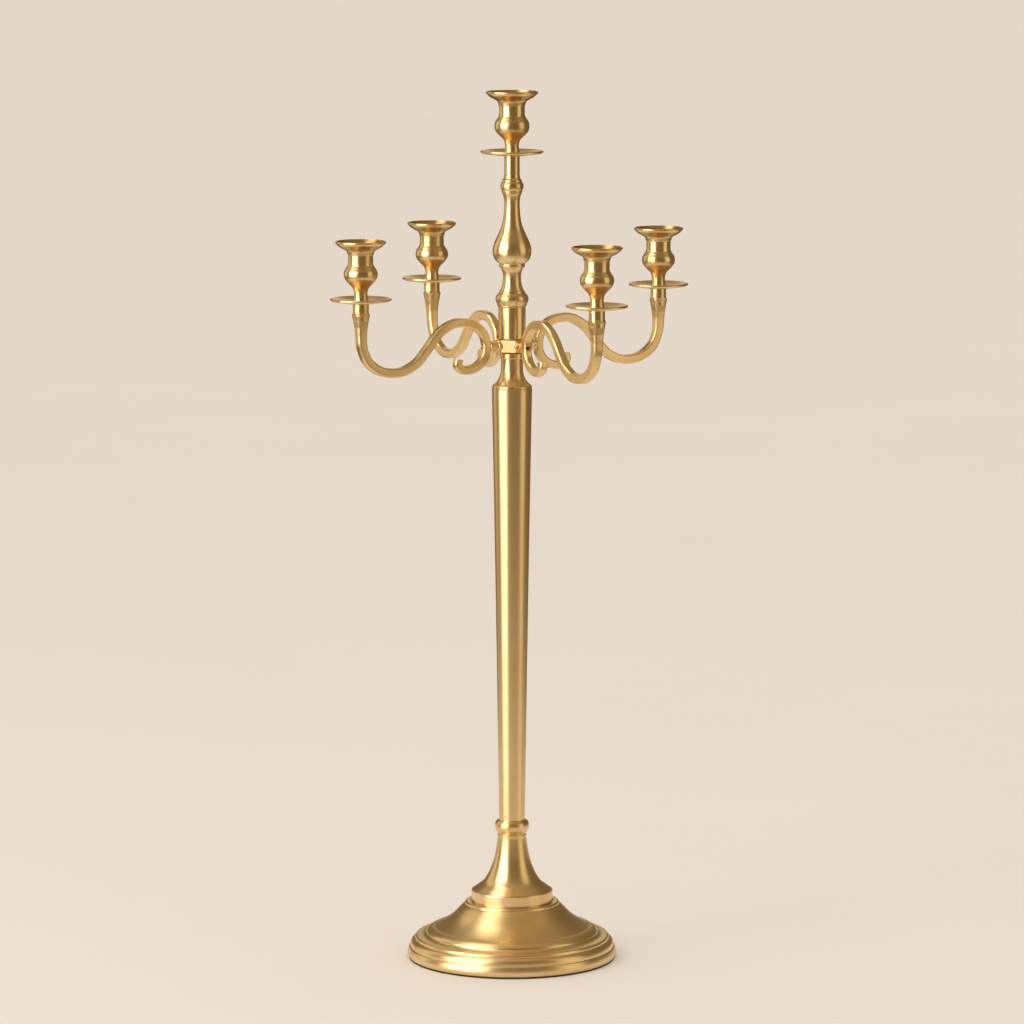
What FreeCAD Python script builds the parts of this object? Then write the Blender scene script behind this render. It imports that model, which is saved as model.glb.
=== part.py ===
import FreeCAD, Part
import math
import os

# A five-light candelabra of turned, spun and cast brass. A tie rod clamps a stack of turned pieces onto a
# weighted foot. A hub carries four scrolled arms at right angles, each with a drip pan and a candle cup,
# and a fifth cup stands on top. The origin is the centre of the foot's underside; +Z is up.

# ---------------------------------------------------------------- driving dimensions, millimetres
# Foot
pad_t = 2.0
pad_inset = 1.6
pad_hole_r = 15.0
foot_r = 113.8
moulding_w = 20.6
edge_h = 27.0
dish_h = 60.6
dish_wall = 3.2
weight_t = 12.0
weight_boss_t = 20.0
weight_boss_r = 30.0
weight_side_wall = 9.5
ring_w = 6.4
ledge_r = 44.2
ledge_h = 13.8
bell_h = 76.4
bell_top_r = 15.8
bell_wall = 2.8

# Column
bead_r = 18.6
bead_h = 14.6
column_h = 472.8
column_foot_r = 14.1
column_waist = 0.45
column_head_r = 21.7
column_wall = 1.6
plug_h = 18.0
cap_h = 38.1
cap_waist_r = 11.85
cap_ring_lip = 0.7

# Hub and the stack above it
hub_h = 13.4
hub_flat = 13.9
hub_seat_r = 15.7
journal_r = 8.0
washer_t = 0.5
washer_w = 4.2
sleeve_r = 14.65
sleeve_h = 34.7
sleeve_bead_r = 17.8
sleeve_bead_h = 17.3
baluster_h = 105.3
vase_r = 20.95
stem_bead_r = 12.45
stem_bead_h = 14.9
stem_r = 8.25
stem_h = 24.2

# Tie rod and fasteners
rod_r = 4.0
rod_bite = 10.5
nut_rim = 2.5
nut_h = 6.5
nut_recess = 2.0
plate_washer_rim = 6.5
plate_washer_t = 1.6
screw_r = 2.0
screw_end_wall = 1.5
screw_head_r = 3.3
screw_head_h = 2.6
screw_socket_r = 1.4
spigot_wall = 2.1
spigot_h = 3.0

# Arms
arm_count = 4
arm_reach = 182.5
spacer_r = 6.2
seat_r = 28.4
socket_rise = 43.6
socket_turned_r = 10.55
socket_cone_h = 4.2
neck_r = 8.5
neck_h = 9.8
bar_chamfer = 1.6
edge_break = 0.6

# Drip pans and candle cups. The top set is the larger.
candle_r = 11.3
candle_depth = 30.0
mouth_drop = 8.0
cup_h = 64.5
cup_wall = 1.9
cup_bulb_r = 18.0
cup_neck_r = 7.3
cup_lip_r = 26.9
pan_r = 32.6
pan_rise = 3.2
pan_t = 2.0
pan_rim_t = 2.8
pan_seat_r = 12.0
top_growth = 1.04
stud_r = 3.0
stud_in_cup = 12.0
stud_below = 10.5

# Clearances
running_gap = 0.05
axial_gap = 0.1
slip_gap = 0.1
seat_gap = 0.05
bolt_gap = 0.3

# ---------------------------------------------------------------- levels up the stack
dish_z = pad_t
ring_lip_h = 1.3
bell_z = dish_z + dish_h - ring_lip_h
bead_z = bell_z + bell_h
column_z = bead_z + bead_h
cap_z = column_z + column_h
journal_z = cap_z + cap_h
hub_z = journal_z + washer_t + axial_gap
hub_mid = hub_z + hub_h / 2
journal_h = hub_h + 2 * (washer_t + axial_gap)
sleeve_z = journal_z + journal_h
sleeve_bead_z = sleeve_z + sleeve_h
baluster_z = sleeve_bead_z + sleeve_bead_h
stem_bead_z = baluster_z + baluster_h
stem_z = stem_bead_z + stem_bead_h
top_pan_z = stem_z + stem_h
arm_pan_z = hub_mid + socket_rise + neck_h
bore_r = rod_r + slip_gap
spigot_r = bore_r + spigot_wall
weight_r = foot_r - weight_side_wall
washer_r = journal_r + washer_w
cap_ring_r = washer_r + cap_ring_lip
screw_bite = hub_seat_r - journal_r - screw_end_wall
cup_tube_r = candle_r + cup_wall


# ---------------------------------------------------------------- helpers
def point(r, z):
    return FreeCAD.Vector(r, 0, z)


def curve_edge(points):
    spline = Part.BSplineCurve()
    spline.interpolate(points)
    return spline.toShape()


def outline(z0, start, *steps):
    """A closed wire in the XZ plane from (r, height) points above z0. A step of one point is a straight
    line, of two an arc through the first to the second, and of more a smooth curve."""
    edges = []
    here = point(start[0], z0 + start[1])
    first = here
    for step in steps:
        targets = [point(r, z0 + h) for r, h in step]
        if len(targets) == 1:
            edges.append(Part.LineSegment(here, targets[0]).toShape())
        elif len(targets) == 2:
            edges.append(Part.Arc(here, targets[0], targets[1]).toShape())
        else:
            edges.append(curve_edge([here] + targets))
        here = targets[-1]
    if here.distanceToPoint(first) > 0.001:
        edges.append(Part.LineSegment(here, first).toShape())
    return Part.Wire(edges)


def turned(z0, start, *steps):
    face = Part.Face(outline(z0, start, *steps))
    return face.revolve(FreeCAD.Vector(0, 0, 0), FreeCAD.Vector(0, 0, 1), 360)


def rod(r, z_low, z_high, x=0.0):
    return Part.makeCylinder(r, z_high - z_low, FreeCAD.Vector(x, 0, z_low))


def rod_along_x(r, x_low, x_high):
    """A cylinder along X at the height of the hub's middle."""
    return Part.makeCylinder(r, x_high - x_low, FreeCAD.Vector(x_low, 0, hub_mid), FreeCAD.Vector(1, 0, 0))


def tube(r_out, r_in, z_low, z_high):
    return rod(r_out, z_low, z_high).cut(rod(r_in, z_low, z_high))


def between(start, end, fractions):
    """Points placed by their fractions of the way across and up from start to end."""
    across = end[0] - start[0]
    up = end[1] - start[1]
    return [(start[0] + u * across, start[1] + v * up) for u, v in fractions]


def inset(points, distance):
    """The points of a curve moved square to it, to its right as it is followed."""
    moved = []
    for i, (r, h) in enumerate(points):
        before = points[max(i - 1, 0)]
        after = points[min(i + 1, len(points) - 1)]
        dr = after[0] - before[0]
        dh = after[1] - before[1]
        size = math.hypot(dr, dh)
        moved.append((r + distance * dh / size, h - distance * dr / size))
    return moved


def spigot(z):
    return rod(spigot_r, z, z + spigot_h)


def spigot_socket(z):
    return rod(spigot_r + slip_gap, z, z + spigot_h + bolt_gap)


def rod_hole(z_low, z_high):
    return rod(bore_r, z_low, z_high)


def hexagon(flats, z_low, z_high):
    corners = []
    for i in range(7):
        angle = math.radians(60 * i)
        corners.append(FreeCAD.Vector(flats / math.sqrt(3) * math.cos(angle),
                                      flats / math.sqrt(3) * math.sin(angle), z_low))
    return Part.Face(Part.makePolygon(corners)).extrude(FreeCAD.Vector(0, 0, z_high - z_low))


def around(shape, place):
    """A copy of an arm's piece, turned to the arm's place round the hub."""
    copy = shape.copy()
    copy.rotate(FreeCAD.Vector(0, 0, 0), FreeCAD.Vector(0, 0, 1), 360 / arm_count * (place - 1))
    return copy


parts = {}

# ---------------------------------------------------------------- foot
# Rubber sheet disc glued under the foot, with a hole round the nut.
parts["foot_pad"] = tube(foot_r - pad_inset, pad_hole_r, 0, pad_t)

# The spun dish: stepped mouldings at its rim, a crisp edge, then an ogee up to a low ring for the bell.
edge_r = foot_r - moulding_w
socket_r = ledge_r + 0.7
ring_r = socket_r + ring_w
edge = (edge_r, edge_h)
shoulder = (ring_r + 0.9, dish_h - 3.6)
ogee = between(edge, shoulder, [(0.05, 0.07), (0.14, 0.14), (0.25, 0.19), (0.46, 0.355), (0.66, 0.555),
                                (0.84, 0.805), (0.94, 0.94), (1.0, 1.0)])
ogee_inside = inset([edge] + ogee[:-1], -dish_wall)
seat_h = dish_h - ring_lip_h
rebate_r = weight_r + slip_gap
parts["base_dish"] = turned(
    dish_z,
    (rebate_r, 0),
    [(foot_r - 1.2, 0)],
    [(foot_r, 4.6), (foot_r - 1.6, 10.2)],
    [(foot_r - 2.8, 10.9)],
    [(foot_r - 2.8, 11.6)],
    [(foot_r - 4.0, 16.4), (foot_r - 7.2, 19.0)],
    [(foot_r - 8.2, 19.2)],
    [(foot_r - 8.2, 20.0)],
    [(foot_r - 8.9, 22.0), (foot_r - 10.8, 22.8)],
    [(foot_r - 17.0, 23.6), (edge_r + 0.2, edge_h - 1.2)],
    [edge],
    ogee,
    [(ring_r, dish_h - 3.2)],
    [(ring_r - 0.4, dish_h - 1.2), (ring_r - 1.9, dish_h)],
    [(socket_r + 0.5, dish_h)],
    [(socket_r, seat_h)],
    [(bore_r + bolt_gap, seat_h)],
    [(bore_r + bolt_gap, seat_h - dish_wall)],
    [ogee_inside[-1]],
    ogee_inside[-2::-1],
    [(edge_r - 4.0, weight_t + 3.0)],
    [(edge_r - 4.0, weight_t)],
    [(rebate_r, weight_t)],
)

# Cast-iron weight in the dish's rebate; the nut sits in its counterbore.
roof_h = nut_h + plate_washer_t + nut_recess
weight = rod(weight_r, dish_z, dish_z + weight_t).fuse(rod(weight_boss_r, dish_z, dish_z + weight_boss_t))
weight = weight.cut(rod(pad_hole_r, dish_z, dish_z + roof_h))
parts["base_weight"] = weight.cut(rod_hole(dish_z, dish_z + weight_boss_t)).removeSplitter()

# Trumpet bell, cast hollow, with a cylindrical ledge at its foot.
flare = between((ledge_r, ledge_h), (bell_top_r, bell_h - 6.0),
                [(0.11, 0.028), (0.27, 0.085), (0.43, 0.145), (0.565, 0.235), (0.71, 0.38),
                 (0.84, 0.555), (0.93, 0.75), (1.0, 1.0)])
flare_inside = inset([(ledge_r, ledge_h)] + flare, -bell_wall)
crown_t = 12.0
parts["base_bell"] = turned(
    bell_z,
    (ledge_r - 4.5, 0),
    [(ledge_r - 0.4, 0)],
    [(ledge_r, 0.4)],
    [(ledge_r, ledge_h - 1.2)],
    [(ledge_r - 0.35, ledge_h - 0.35), (ledge_r - 1.2, ledge_h)],
    flare,
    [(bell_top_r, bell_h - 1.6)],
    [(bell_top_r - 0.7, bell_h - 1.1)],
    [(bell_top_r - 0.7, bell_h)],
    [(bore_r, bell_h)],
    [(bore_r, bell_h - crown_t)],
    [flare_inside[-2]],
    flare_inside[-3:0:-1],
    [(ledge_r - 4.5, ledge_h - 3.2)],
)

# Hexagon nut and plain washer under the weight.
nut_top = dish_z + roof_h - plate_washer_t
nut = hexagon(2 * (rod_r + nut_rim), nut_top - nut_h, nut_top)
parts["base_nut"] = nut.cut(rod(rod_r, nut_top - nut_h, nut_top))
parts["base_washer"] = tube(rod_r + plate_washer_rim, bore_r, nut_top, nut_top + plate_washer_t)

# ---------------------------------------------------------------- column
bead = turned(
    bead_z,
    (bore_r, 0),
    [(bell_top_r - 0.2, 0)],
    [(bell_top_r + 0.3, 0.8)],
    [(bead_r, bead_h * 0.52), (column_foot_r + 1.9, bead_h - 0.9)],
    [(column_foot_r + 1.0, bead_h)],
    [(bore_r, bead_h)],
)
parts["base_bead"] = bead


def column_r(height):
    """The column's radius: a straight taper with a slight hollow at mid height."""
    t = height / column_h
    return column_foot_r + (column_head_r - column_foot_r) * t - 4 * column_waist * t * (1 - t)


column_steps = [column_h * i / 6 for i in range(7)]
column_edge = 0.8
inside = [(column_r(h) - column_wall, h) for h in column_steps]
parts["column_tube"] = turned(
    column_z,
    (column_foot_r - column_wall, 0),
    [(column_foot_r, 0)],
    [(column_r(h), h) for h in column_steps[1:-1]] + [(column_head_r, column_h - column_edge)],
    [(column_head_r - column_edge, column_h)],
    [(column_head_r - column_wall, column_h)],
    inside[-2::-1],
)
foot_plug_r = column_foot_r - column_wall - slip_gap
head_plug_r = column_r(column_h - plug_h) - column_wall - slip_gap
parts["column_foot_plug"] = tube(foot_plug_r, bore_r, column_z, column_z + plug_h)
parts["column_head_plug"] = tube(head_plug_r, bore_r, cap_z - plug_h, cap_z)

# Spool that caps the column; its top ring carries the hub's lower washer.
cap_foot_r = column_head_r - 0.3
cap = turned(
    cap_z,
    (bore_r, 0),
    [(cap_foot_r - 0.5, 0)],
    [(cap_foot_r, 0.6)],
    [(cap_foot_r - 0.5, 2.3), (cap_foot_r - 2.0, 3.7)],
    [(cap_foot_r - 4.4, 5.8), (cap_foot_r - 6.5, 8.8), (cap_foot_r - 8.1, 12.2), (cap_waist_r + 0.3, 16.5),
     (cap_waist_r, 21.5), (cap_waist_r + 0.2, cap_h - 6.2)],
    [(cap_ring_r - 0.3, cap_h - 5.9)],
    [(cap_ring_r, cap_h - 5.4)],
    [(cap_ring_r, cap_h - 1.3)],
    [(cap_ring_r - 0.7, cap_h - 0.5), (cap_ring_r - 1.5, cap_h)],
    [(bore_r, cap_h)],
)
parts["column_cap"] = cap

# ---------------------------------------------------------------- hub and its bearing
# The journal sets the clearance that lets the hub turn; a fibre washer lies above and below the hub.
parts["hub_journal"] = tube(journal_r, bore_r, journal_z, sleeve_z)
washer = tube(washer_r, journal_r + slip_gap, journal_z, journal_z + washer_t)
upper_washer = washer.translated(FreeCAD.Vector(0, 0, journal_h - washer_t))
parts["hub_washers"] = Part.makeCompound([washer, upper_washer])

hub = Part.makeBox(2 * hub_flat, 2 * hub_flat, hub_h, FreeCAD.Vector(-hub_flat, -hub_flat, hub_z))
hub.rotate(FreeCAD.Vector(0, 0, 0), FreeCAD.Vector(0, 0, 1), 45)
hub = hub.common(Part.makeBox(2 * hub_seat_r, 2 * hub_seat_r, hub_h,
                              FreeCAD.Vector(-hub_seat_r, -hub_seat_r, hub_z)))
hub = hub.makeChamfer(edge_break, [e for e in hub.Edges if e.BoundBox.ZLength < 0.01])
hub = hub.cut(rod(journal_r + running_gap, hub_z, hub_z + hub_h))
screw_tip = hub_seat_r - screw_bite
thread = rod_along_x(screw_r, screw_tip - 0.5, hub_seat_r + 1.0)
for place in range(1, arm_count + 1):
    hub = hub.cut(around(thread, place))
parts["arm_hub"] = hub

# ---------------------------------------------------------------- stack above the hub
sleeve = turned(
    sleeve_z,
    (bore_r, 0),
    [(sleeve_r - 0.8, 0)],
    [(sleeve_r, 0.8)],
    [(sleeve_r, sleeve_h - 0.9)],
    [(sleeve_r - 0.5, sleeve_h)],
    [(bore_r, sleeve_h)],
)
parts["hub_sleeve"] = sleeve.fuse(spigot(sleeve_z + sleeve_h)).cut(
    rod_hole(sleeve_z, sleeve_z + sleeve_h + spigot_h)).removeSplitter()

sleeve_bead = turned(
    sleeve_bead_z,
    (bore_r, 0),
    [(sleeve_r, 0)],
    [(sleeve_r + 0.75, 0.4), (sleeve_r + 0.9, 1.6)],
    [(sleeve_r + 1.5, 3.2), (sleeve_bead_r - 0.7, 5.4), (sleeve_bead_r, 8.8), (sleeve_bead_r - 0.9, 11.9),
     (sleeve_bead_r - 2.6, 14.2)],
    [(sleeve_bead_r - 3.8, 14.8)],
    [(sleeve_bead_r - 3.9, sleeve_bead_h - 0.5)],
    [(sleeve_bead_r - 4.4, sleeve_bead_h)],
    [(bore_r, sleeve_bead_h)],
)
sleeve_bead = sleeve_bead.cut(spigot_socket(sleeve_bead_z)).fuse(spigot(sleeve_bead_z + sleeve_bead_h))
parts["sleeve_bead"] = sleeve_bead.cut(
    rod_hole(sleeve_bead_z, baluster_z + spigot_h)).removeSplitter()

# Baluster: a spool, a collar, the vase, and a long neck up to the stem's bead.
collar_h = 25.9
vase_h = 42.9
baluster = turned(
    baluster_z,
    (bore_r, 0),
    [(sleeve_bead_r - 4.9, 0)],
    [(11.0, 4.8), (9.95, 9.4), (9.55, 14.0), (10.3, 19.6), (11.3, 22.6), (12.6, 24.9)],
    [(13.7, collar_h - 0.4)],
    [(14.1, collar_h + 1.2), (13.7, collar_h + 2.9)],
    [(13.9, collar_h + 3.4)],
    [(vase_r - 4.3, collar_h + 5.4), (vase_r - 1.5, collar_h + 9.3), (vase_r, vase_h),
     (vase_r - 1.4, collar_h + 24.2), (vase_r - 5.3, collar_h + 33.2), (vase_r - 9.2, collar_h + 42.0),
     (9.6, collar_h + 50.6), (8.45, collar_h + 61.2), (8.25, collar_h + 67.6), (8.6, baluster_h - 7.4),
     (9.6, baluster_h - 2.6)],
    [(10.2, baluster_h - 1.5)],
    [(10.4, baluster_h)],
    [(bore_r, baluster_h)],
)
baluster = baluster.cut(spigot_socket(baluster_z)).fuse(spigot(baluster_z + baluster_h))
parts["baluster"] = baluster.cut(rod_hole(baluster_z, stem_bead_z + spigot_h)).removeSplitter()

stem_bead = turned(
    stem_bead_z,
    (bore_r, 0),
    [(stem_bead_r - 1.8, 0)],
    [(stem_bead_r - 1.5, 0.7), (stem_bead_r - 1.4, 2.2)],
    [(stem_bead_r, 7.2), (stem_bead_r - 1.5, 11.2)],
    [(stem_bead_r - 1.9, 11.5)],
    [(stem_bead_r - 2.0, 13.5)],
    [(stem_r + 0.9, stem_bead_h)],
    [(bore_r, stem_bead_h)],
)
parts["stem_bead"] = stem_bead.cut(spigot_socket(stem_bead_z)).fuse(spigot(stem_z)).cut(
    rod_hole(stem_bead_z, stem_z + spigot_h)).removeSplitter()

# Top of the stem: threaded on the tie rod from below, and drilled for the top cup's stud from above.
stem = turned(
    stem_z,
    (0, 0),
    [(stem_r + 0.8, 0)],
    [(stem_r + 0.25, 2.4), (stem_r, 5.4)],
    [(stem_r, stem_h)],
    [(0, stem_h)],
)
rod_top = stem_z + rod_bite
stem = stem.cut(spigot_socket(stem_z)).cut(rod(rod_r, stem_z, rod_top + axial_gap))
stud_hole_depth = stud_below - pan_t + 0.5
parts["stem_top"] = stem.cut(rod(stud_r + running_gap, top_pan_z - stud_hole_depth, top_pan_z))

# Threaded steel rod through the whole stack.
parts["tie_rod"] = rod(rod_r, nut_top - nut_h - 0.5, rod_top)


# ---------------------------------------------------------------- drip pans and candle cups
def drip_pan(z, grow):
    """Shallow spun pan with a rounded rim; z is its underside at the middle."""
    rim = pan_r * grow
    pan = turned(
        z,
        (stud_r + bolt_gap, 0),
        [(pan_seat_r, 0)],
        [(rim * 0.55, 0.3 * pan_rise), (rim - 1.5, pan_rise)],
        [(rim, pan_rise + 0.5 * pan_rim_t), (rim - 1.5, pan_rise + pan_rim_t)],
        [(rim * 0.65, pan_t + 0.42 * pan_rise), (pan_seat_r, pan_t)],
        [(stud_r + bolt_gap, pan_t)],
    )
    return pan


def candle_cup(z, grow):
    """Turned cup: a waisted foot, a bulb and a straight tube with a flared lip; z is its seat."""
    neck = cup_neck_r * grow
    bulb = cup_bulb_r * grow
    barrel = cup_tube_r * grow
    lip = cup_lip_r * grow
    top = cup_h * grow
    bulb_h = 29.5 * grow
    groove_h = 35.6 * grow
    root_h = 41.0 * grow
    band_h = 49.8 * grow
    floor_h = top - mouth_drop - candle_depth
    cup = turned(
        z,
        (0, 0),
        [(neck + 0.9, 0)],
        [(neck + 0.75, 1.4)],
        [(neck + 0.1, 4.4), (neck - 0.2, 8.2), (neck + 0.1, 11.4), (neck + 1.5, 15.2), (neck + 5.0, 18.9),
         (bulb - 2.0, 23.2), (bulb - 0.4, 26.4), (bulb, bulb_h), (bulb - 0.7, 33.0 * grow),
         (bulb - 2.1, groove_h - 0.2)],
        [(bulb - 2.5, groove_h)],
        [(bulb - 2.4, groove_h + 0.4)],
        [(barrel + 1.4, 37.4 * grow), (barrel + 0.4, 39.2 * grow), (barrel, root_h)],
        [(barrel, band_h)],
        [(barrel + 0.8, band_h + 0.5)],
        [(barrel + 1.3, band_h + 3.4)],
        [(barrel + 1.7, band_h + 4.1)],
        [(lip - 10.4, top - 9.5), (lip - 6.7, top - 7.6), (lip - 3.5, top - 5.5), (lip - 1.1, top - 3.2)],
        [(lip, top - 1.5), (lip - 1.4, top)],
        [(lip - 2.6, top - 1.2), (lip - 4.9, top - 3.9), (lip - 8.5, top - 5.9), (candle_r + 2.6, top - 7.0)],
        [(candle_r, top - mouth_drop)],
        [(candle_r, floor_h)],
        [(0, floor_h)],
    )
    return cup.cut(rod(stud_r + running_gap, z, z + stud_in_cup + axial_gap))


def cup_stud(z):
    """Steel stud up into the cup and down through the pan; z is the cup's seat."""
    return rod(stud_r, z - stud_below, z + stud_in_cup - seat_gap)


def placed(shape, place):
    """Moves a piece made on the axis out to an arm's end."""
    return around(shape.translated(FreeCAD.Vector(arm_reach, 0, 0)), place)


top_seat = top_pan_z + pan_t
arm_seat = arm_pan_z + pan_t
parts["centre_pan"] = drip_pan(top_pan_z, top_growth)
parts["centre_cup"] = candle_cup(top_seat + seat_gap, top_growth)
parts["centre_stud"] = cup_stud(top_seat + seat_gap)
arm_pan = drip_pan(arm_pan_z, 1.0)
arm_cup = candle_cup(arm_seat + seat_gap, 1.0)
arm_stud = cup_stud(arm_seat + seat_gap)

# ---------------------------------------------------------------- arms
# The scroll's centre line, as (radius, height above the hub's middle). The curl runs from its cut end round
# the loop that meets the hub; the sweep runs from the loop's top down, round and up to the socket.
loop_x = seat_r + 3.6
curl = [(33.5, -11.7), (34.6, -17.2), (30.9, -22.1), (23.5, -23.9), (6.4, -16.6), (0.0, 0.3), (8.0, 19.3)]
loop_top = (32.5, 27.6)
sweep = [(0.125, 23.7), (0.229, 15.2), (0.352, -2.2), (0.467, -15.4), (0.678, -22.2), (0.902, -12.5),
         (0.981, 3.1), (1.0, 20.0)]
sweep_span = arm_reach - loop_x - loop_top[0]
line = [point(loop_x + r, hub_mid + h) for r, h in curl + [loop_top]]
line += [point(loop_x + loop_top[0] + u * sweep_span, hub_mid + h) for u, h in sweep]
line.append(point(arm_reach, hub_mid + socket_rise))
centre_line = Part.BSplineCurve()
centre_line.interpolate(line)

# The bar's width at knots along it: (share of the length, width).
bar_widths = [(0.0, 8.8), (0.12, 9.0), (0.25, 9.3), (0.45, 9.5), (0.62, 9.6), (0.78, 9.8), (0.86, 10.1),
              (0.915, 11.0), (0.95, 12.8), (0.975, 14.8), (1.0, 16.9)]
sections = 44


def bar_width(share):
    for (s0, w0), (s1, w1) in zip(bar_widths, bar_widths[1:]):
        if share <= s1:
            return w0 + (w1 - w0) * (share - s0) / (s1 - s0)
    return bar_widths[-1][1]


def bar_section(share):
    """A square with small bevels, square to the centre line at a share of its length."""
    u = centre_line.parameterAtDistance(share * centre_line.length())
    middle = centre_line.value(u)
    along = centre_line.tangent(u)[0]
    side = FreeCAD.Vector(0, 1, 0)
    up = side.cross(along)
    half = bar_width(share) / 2
    inner = half - bar_chamfer
    ring = [(half, inner), (inner, half), (-inner, half), (-half, inner),
            (-half, -inner), (-inner, -half), (inner, -half), (half, -inner)]
    corners = [middle + side * a + up * b for a, b in ring]
    return Part.makePolygon(corners + [corners[0]])


bar = Part.makeLoft([bar_section(i / sections) for i in range(sections + 1)], True, False)
socket_top = hub_mid + socket_rise
# The socket's corners are turned down, under a cone that leads to the round neck.
waste_low = socket_top - 12.0
waste = rod(2 * socket_turned_r, waste_low, socket_top + 1.0, arm_reach)
cone_low = socket_top - socket_cone_h
turned_top = rod(socket_turned_r, waste_low, cone_low, arm_reach).fuse(
    Part.makeCone(socket_turned_r, neck_r, socket_cone_h, FreeCAD.Vector(arm_reach, 0, cone_low)))
arm = bar.cut(waste.cut(turned_top))
arm = arm.fuse(rod(neck_r, socket_top - 1.0, arm_pan_z, arm_reach))
arm = arm.cut(rod(stud_r + running_gap, arm_pan_z - stud_hole_depth - 4.0, arm_pan_z, arm_reach))
# A flat on the loop meets the spacer. The screw passes through the loop there, its head sunk in the bar.
loop_w = bar_width(0.25)
head_seat = loop_x + loop_w / 2 - screw_head_h
arm = arm.cut(Part.makeBox(seat_r, 3 * loop_w, 3 * loop_w,
                           FreeCAD.Vector(0, -1.5 * loop_w, hub_mid - 1.5 * loop_w)))
arm = arm.cut(rod_along_x(screw_r + slip_gap, 0, head_seat + screw_head_h))
arm = arm.cut(rod_along_x(screw_head_r + slip_gap, head_seat, head_seat + 2 * screw_head_h))

spacer = rod_along_x(spacer_r, hub_seat_r, seat_r)
spacer = spacer.makeFillet(edge_break, [e for e in spacer.Edges if e.BoundBox.XLength < 0.01])
spacer = spacer.cut(rod_along_x(screw_r + slip_gap, 0, 2 * seat_r))

screw = rod_along_x(screw_r, screw_tip, head_seat)
screw = screw.fuse(rod_along_x(screw_head_r, head_seat, head_seat + screw_head_h))
screw = screw.cut(rod_along_x(screw_socket_r, head_seat + 0.4 * screw_head_h, head_seat + screw_head_h))

for place in range(1, arm_count + 1):
    parts[f"arm_{place}"] = around(arm, place)
    parts[f"arm_spacer_{place}"] = around(spacer, place)
    parts[f"arm_pan_{place}"] = placed(arm_pan, place)
    parts[f"arm_cup_{place}"] = placed(arm_cup, place)
    parts[f"arm_stud_{place}"] = placed(arm_stud, place)
parts["arm_screws"] = Part.makeCompound([around(screw, place) for place in range(1, arm_count + 1)])

os.makedirs("parts", exist_ok=True)
for name, shape in parts.items():
    shape.exportStep(f"parts/{name}.step")
    print(name, "solids", len(shape.Solids), "valid", shape.isValid(), "volume", round(shape.Volume))
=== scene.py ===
import math
import bpy
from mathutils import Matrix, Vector
from mathutils.geometry import interpolate_bezier


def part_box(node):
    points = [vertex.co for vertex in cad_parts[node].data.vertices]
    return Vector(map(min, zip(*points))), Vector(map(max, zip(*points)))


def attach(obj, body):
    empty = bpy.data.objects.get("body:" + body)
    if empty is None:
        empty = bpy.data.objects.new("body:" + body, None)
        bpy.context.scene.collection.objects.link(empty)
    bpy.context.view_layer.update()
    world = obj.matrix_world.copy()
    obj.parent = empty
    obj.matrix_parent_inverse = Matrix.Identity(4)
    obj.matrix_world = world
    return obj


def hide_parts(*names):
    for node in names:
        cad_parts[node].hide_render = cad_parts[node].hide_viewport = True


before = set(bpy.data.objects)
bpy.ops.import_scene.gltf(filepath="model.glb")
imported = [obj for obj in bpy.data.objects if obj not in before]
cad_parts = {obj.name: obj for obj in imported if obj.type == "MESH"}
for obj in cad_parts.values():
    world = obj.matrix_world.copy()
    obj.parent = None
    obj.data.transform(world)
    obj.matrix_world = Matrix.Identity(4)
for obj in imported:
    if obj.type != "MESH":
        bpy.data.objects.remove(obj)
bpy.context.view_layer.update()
MM = 0.001

# ---------------------------------------------------------------- foot dish
# The broad foot: a dish spun from brass sheet over a form, with stepped mouldings round its rim, a crisp
# edge, and an ogee up to a low lip. Turned all over, then brushed in the lathe and lacquered.


def soft(r, h):
    """A point of an outline that the line passes through in a smooth bend."""
    return (r, h, True)


def drawn(outline, fine=7):
    """Points in metres round a closed outline given in millimetres: pairs are corners."""
    spots = [Vector((p[0], 0, p[1])) * MM for p in outline]
    is_soft = [len(p) > 2 for p in outline]
    count = len(spots)
    tangents = []
    for i in range(count):
        tangents.append((spots[(i + 1) % count] - spots[i - 1]).normalized())
    points = []
    for i in range(count):
        j = (i + 1) % count
        if not (is_soft[i] or is_soft[j]):
            points.append(spots[i])
            continue
        reach = 0.36 * (spots[j] - spots[i]).length
        out = spots[i] + tangents[i] * reach
        back = spots[j] - tangents[j] * reach
        if not is_soft[i]:
            out = spots[i].lerp(back, 0.4)
        if not is_soft[j]:
            back = spots[j].lerp(out, 0.4)
        points += interpolate_bezier(spots[i], out, back, spots[j], fine + 1)[:-1]
    return points


def smoothed(piece, angle):
    """Shades a finished piece smooth, with its flats kept flat and its corners crisp."""
    bpy.ops.object.select_all(action="DESELECT")
    piece.select_set(True)
    bpy.context.view_layer.objects.active = piece
    bpy.ops.object.shade_smooth_by_angle(angle=math.radians(angle))
    flats = piece.modifiers.new("flats", "WEIGHTED_NORMAL")
    flats.keep_sharp = True
    bpy.ops.object.modifier_apply(modifier="flats")


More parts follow.
